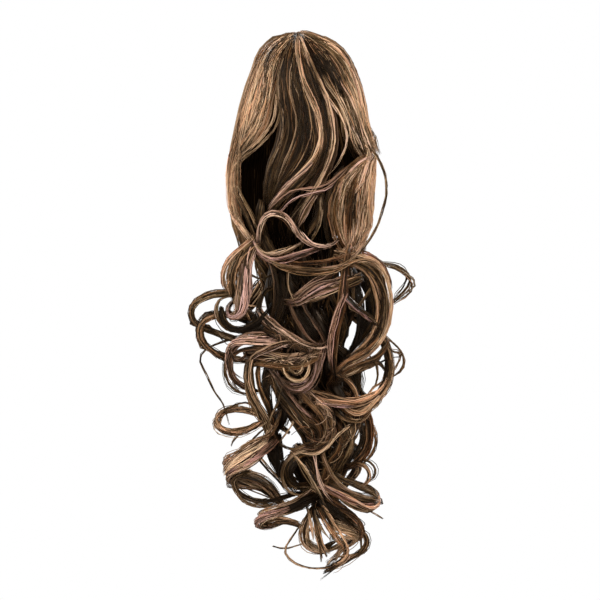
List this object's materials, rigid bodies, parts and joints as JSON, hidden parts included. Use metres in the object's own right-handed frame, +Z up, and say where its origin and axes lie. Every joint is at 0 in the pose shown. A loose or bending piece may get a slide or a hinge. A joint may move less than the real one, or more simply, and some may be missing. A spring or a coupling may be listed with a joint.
{
  "type": "curled ponytail hairpiece with claw clip",
  "caption": "Long curled ponytail hairpiece: a combed crown of brown hair over a toothed claw clip, falling into a mass of loose ringlets.",
  "frame": {"origin": "middle of the claw clip's grip, halfway between its two jaws and halfway along them", "axes": "+Y from the clip's hinge to its mouth, towards the wearer's head; +Z up along the clip's teeth rows, so the hair falls along -Z; +X to the right as seen from behind the wearer"},
  "size_m": [0.2218, 0.1278, 0.5419],
  "materials": {
    "clip_plastic": "dark brown moulded plastic, polished",
    "crown_fibre": "combed brown hair with copper and beige streaks, silky",
    "tail_fibre": "curled brown hair with copper and beige streaks, silky"
  },
  "bodies": {
    "root": {"claw_clip": "clip_plastic", "crown_hair": "crown_fibre", "tail_hair": "tail_fibre"}
  },
  "joints": []
}
